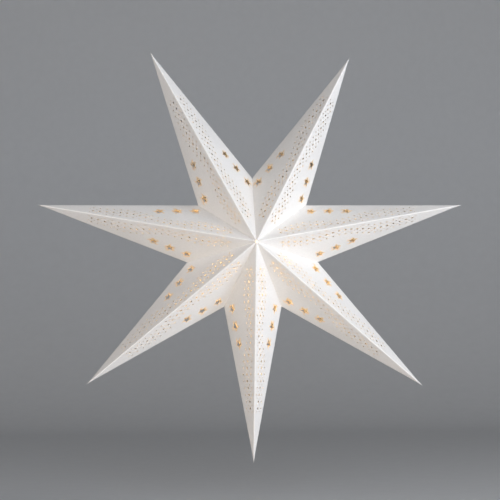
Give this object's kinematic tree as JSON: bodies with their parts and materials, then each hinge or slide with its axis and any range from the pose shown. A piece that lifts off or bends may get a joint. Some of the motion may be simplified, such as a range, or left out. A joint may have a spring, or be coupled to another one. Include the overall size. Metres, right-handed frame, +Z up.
{
  "type": "paper star lantern",
  "caption": "Folded paper star lantern with pointed cones and star-shaped cut-outs, hung on a screw lampholder with a globe bulb; it folds flat.",
  "frame": {"origin": "middle of the lampholder's cord inlet, at its top edge, where the lantern hangs", "axes": "+Z up along the cord, +X to the right across the star's spread, -Y towards the star's front"},
  "size_m": [0.5944, 0.18, 0.5747],
  "materials": {
    "white_paper": "smooth matt white card, creased",
    "closure_tape": "woven hook and loop tape",
    "moulded_holder": "moulded white plastic",
    "glazed_core": "cream glazed ceramic",
    "brass_shell": "drawn and rolled brass sheet",
    "contact_bronze": "bent spring strip",
    "terminal_brass": "sawn and drilled brass",
    "screw_steel": "zinc plated",
    "opal_globe": "blown opal, lit warm white",
    "collar_plastic": "moulded white plastic",
    "nickel_cap": "nickel plated and rolled",
    "solder_tip": "tinned",
    "black_glass": "moulded black glass",
    "light_board": "white lacquered aluminium board",
    "driver_board": "lacquered green board"
  },
  "bodies": {
    "lamp": {"holder_cap": "moulded_holder", "holder_skirt": "moulded_holder", "holder_core": "glazed_core", "screw_shell": "brass_shell", "centre_contact": "contact_bronze", "terminal_live": "terminal_brass", "terminal_neutral": "terminal_brass", "clamp_screw_live": "screw_steel", "clamp_screw_neutral": "screw_steel"},
    "shade_ring": {"shade_ring": "moulded_holder"},
    "bulb": {"bulb_globe": "opal_globe", "bulb_collar": "collar_plastic", "bulb_screw_cap": "nickel_cap", "bulb_insulator": "black_glass", "bulb_tip": "solder_tip", "bulb_led_board": "light_board", "bulb_driver_board": "driver_board"},
    "star_point_1": {"point_1": "white_paper", "hook_tape_front": "closure_tape", "hook_tape_back": "closure_tape"},
    "star_point_2": {"point_2": "white_paper"},
    "star_point_3": {"point_3": "white_paper"},
    "star_point_4": {"point_4": "white_paper"},
    "star_point_5": {"point_5": "white_paper"},
    "star_point_6": {"point_6": "white_paper"},
    "star_point_7": {"point_7": "white_paper", "loop_tape_front": "closure_tape", "loop_tape_back": "closure_tape"}
  },
  "joints": [
    {"name": "shade_ring_thread", "type": "hinge", "parent": "lamp", "child": "shade_ring", "pos_m": [0, 0, -0.045], "axis": [0, 0, -1], "range_deg": [0, 1800]},
    {"name": "bulb_thread", "type": "hinge", "parent": "lamp", "child": "bulb", "pos_m": [0, 0, -0.05], "axis": [0, 0, -1], "range_deg": [0, 1440]},
    {"name": "star_lift_off", "type": "slide", "parent": "lamp", "child": "star_point_4", "axis": [0, 0, -1], "range_m": [0, 0.131], "deforming": ["point_4"]},
    {"name": "star_fold", "type": "hinge", "parent": "star_point_4", "child": "star_point_1", "pos_m": [0, 0, -0.08622], "axis": [0, 1, 0], "range_deg": [0, 137.38], "deforming": ["point_1"]},
    {"name": "star_fold_2", "type": "hinge", "parent": "star_point_4", "child": "star_point_2", "pos_m": [0, 0, -0.08622], "axis": [0, 1, 0], "range_deg": [0, 90.87], "deforming": ["point_2"]},
    {"name": "star_fold_3", "type": "hinge", "parent": "star_point_4", "child": "star_point_3", "pos_m": [0, 0, -0.08622], "axis": [0, 1, 0], "range_deg": [0, 45.32], "deforming": ["point_3"]},
    {"name": "star_fold_5", "type": "hinge", "parent": "star_point_4", "child": "star_point_5", "pos_m": [0, 0, -0.08622], "axis": [0, 1, 0], "range_deg": [-45.32, 0], "deforming": ["point_5"]},
    {"name": "star_fold_6", "type": "hinge", "parent": "star_point_4", "child": "star_point_6", "pos_m": [0, 0, -0.08622], "axis": [0, 1, 0], "range_deg": [-90.87, 0], "deforming": ["point_6"]},
    {"name": "star_fold_7", "type": "hinge", "parent": "star_point_4", "child": "star_point_7", "pos_m": [0, 0, -0.08622], "axis": [0, 1, 0], "range_deg": [-137.4, 0], "deforming": ["point_7"]}
  ],
  "couplings": [
    {"joint": "star_lift_off", "follows": "star_fold", "m_per_rad": 0.054217},
    {"joint": "star_fold_2", "follows": "star_fold", "ratio": 0.6613},
    {"joint": "star_fold_3", "follows": "star_fold", "ratio": 0.32971},
    {"joint": "star_fold_5", "follows": "star_fold", "ratio": -0.32971},
    {"joint": "star_fold_6", "follows": "star_fold", "ratio": -0.6613},
    {"joint": "star_fold_7", "follows": "star_fold", "ratio": -1}
  ]
}
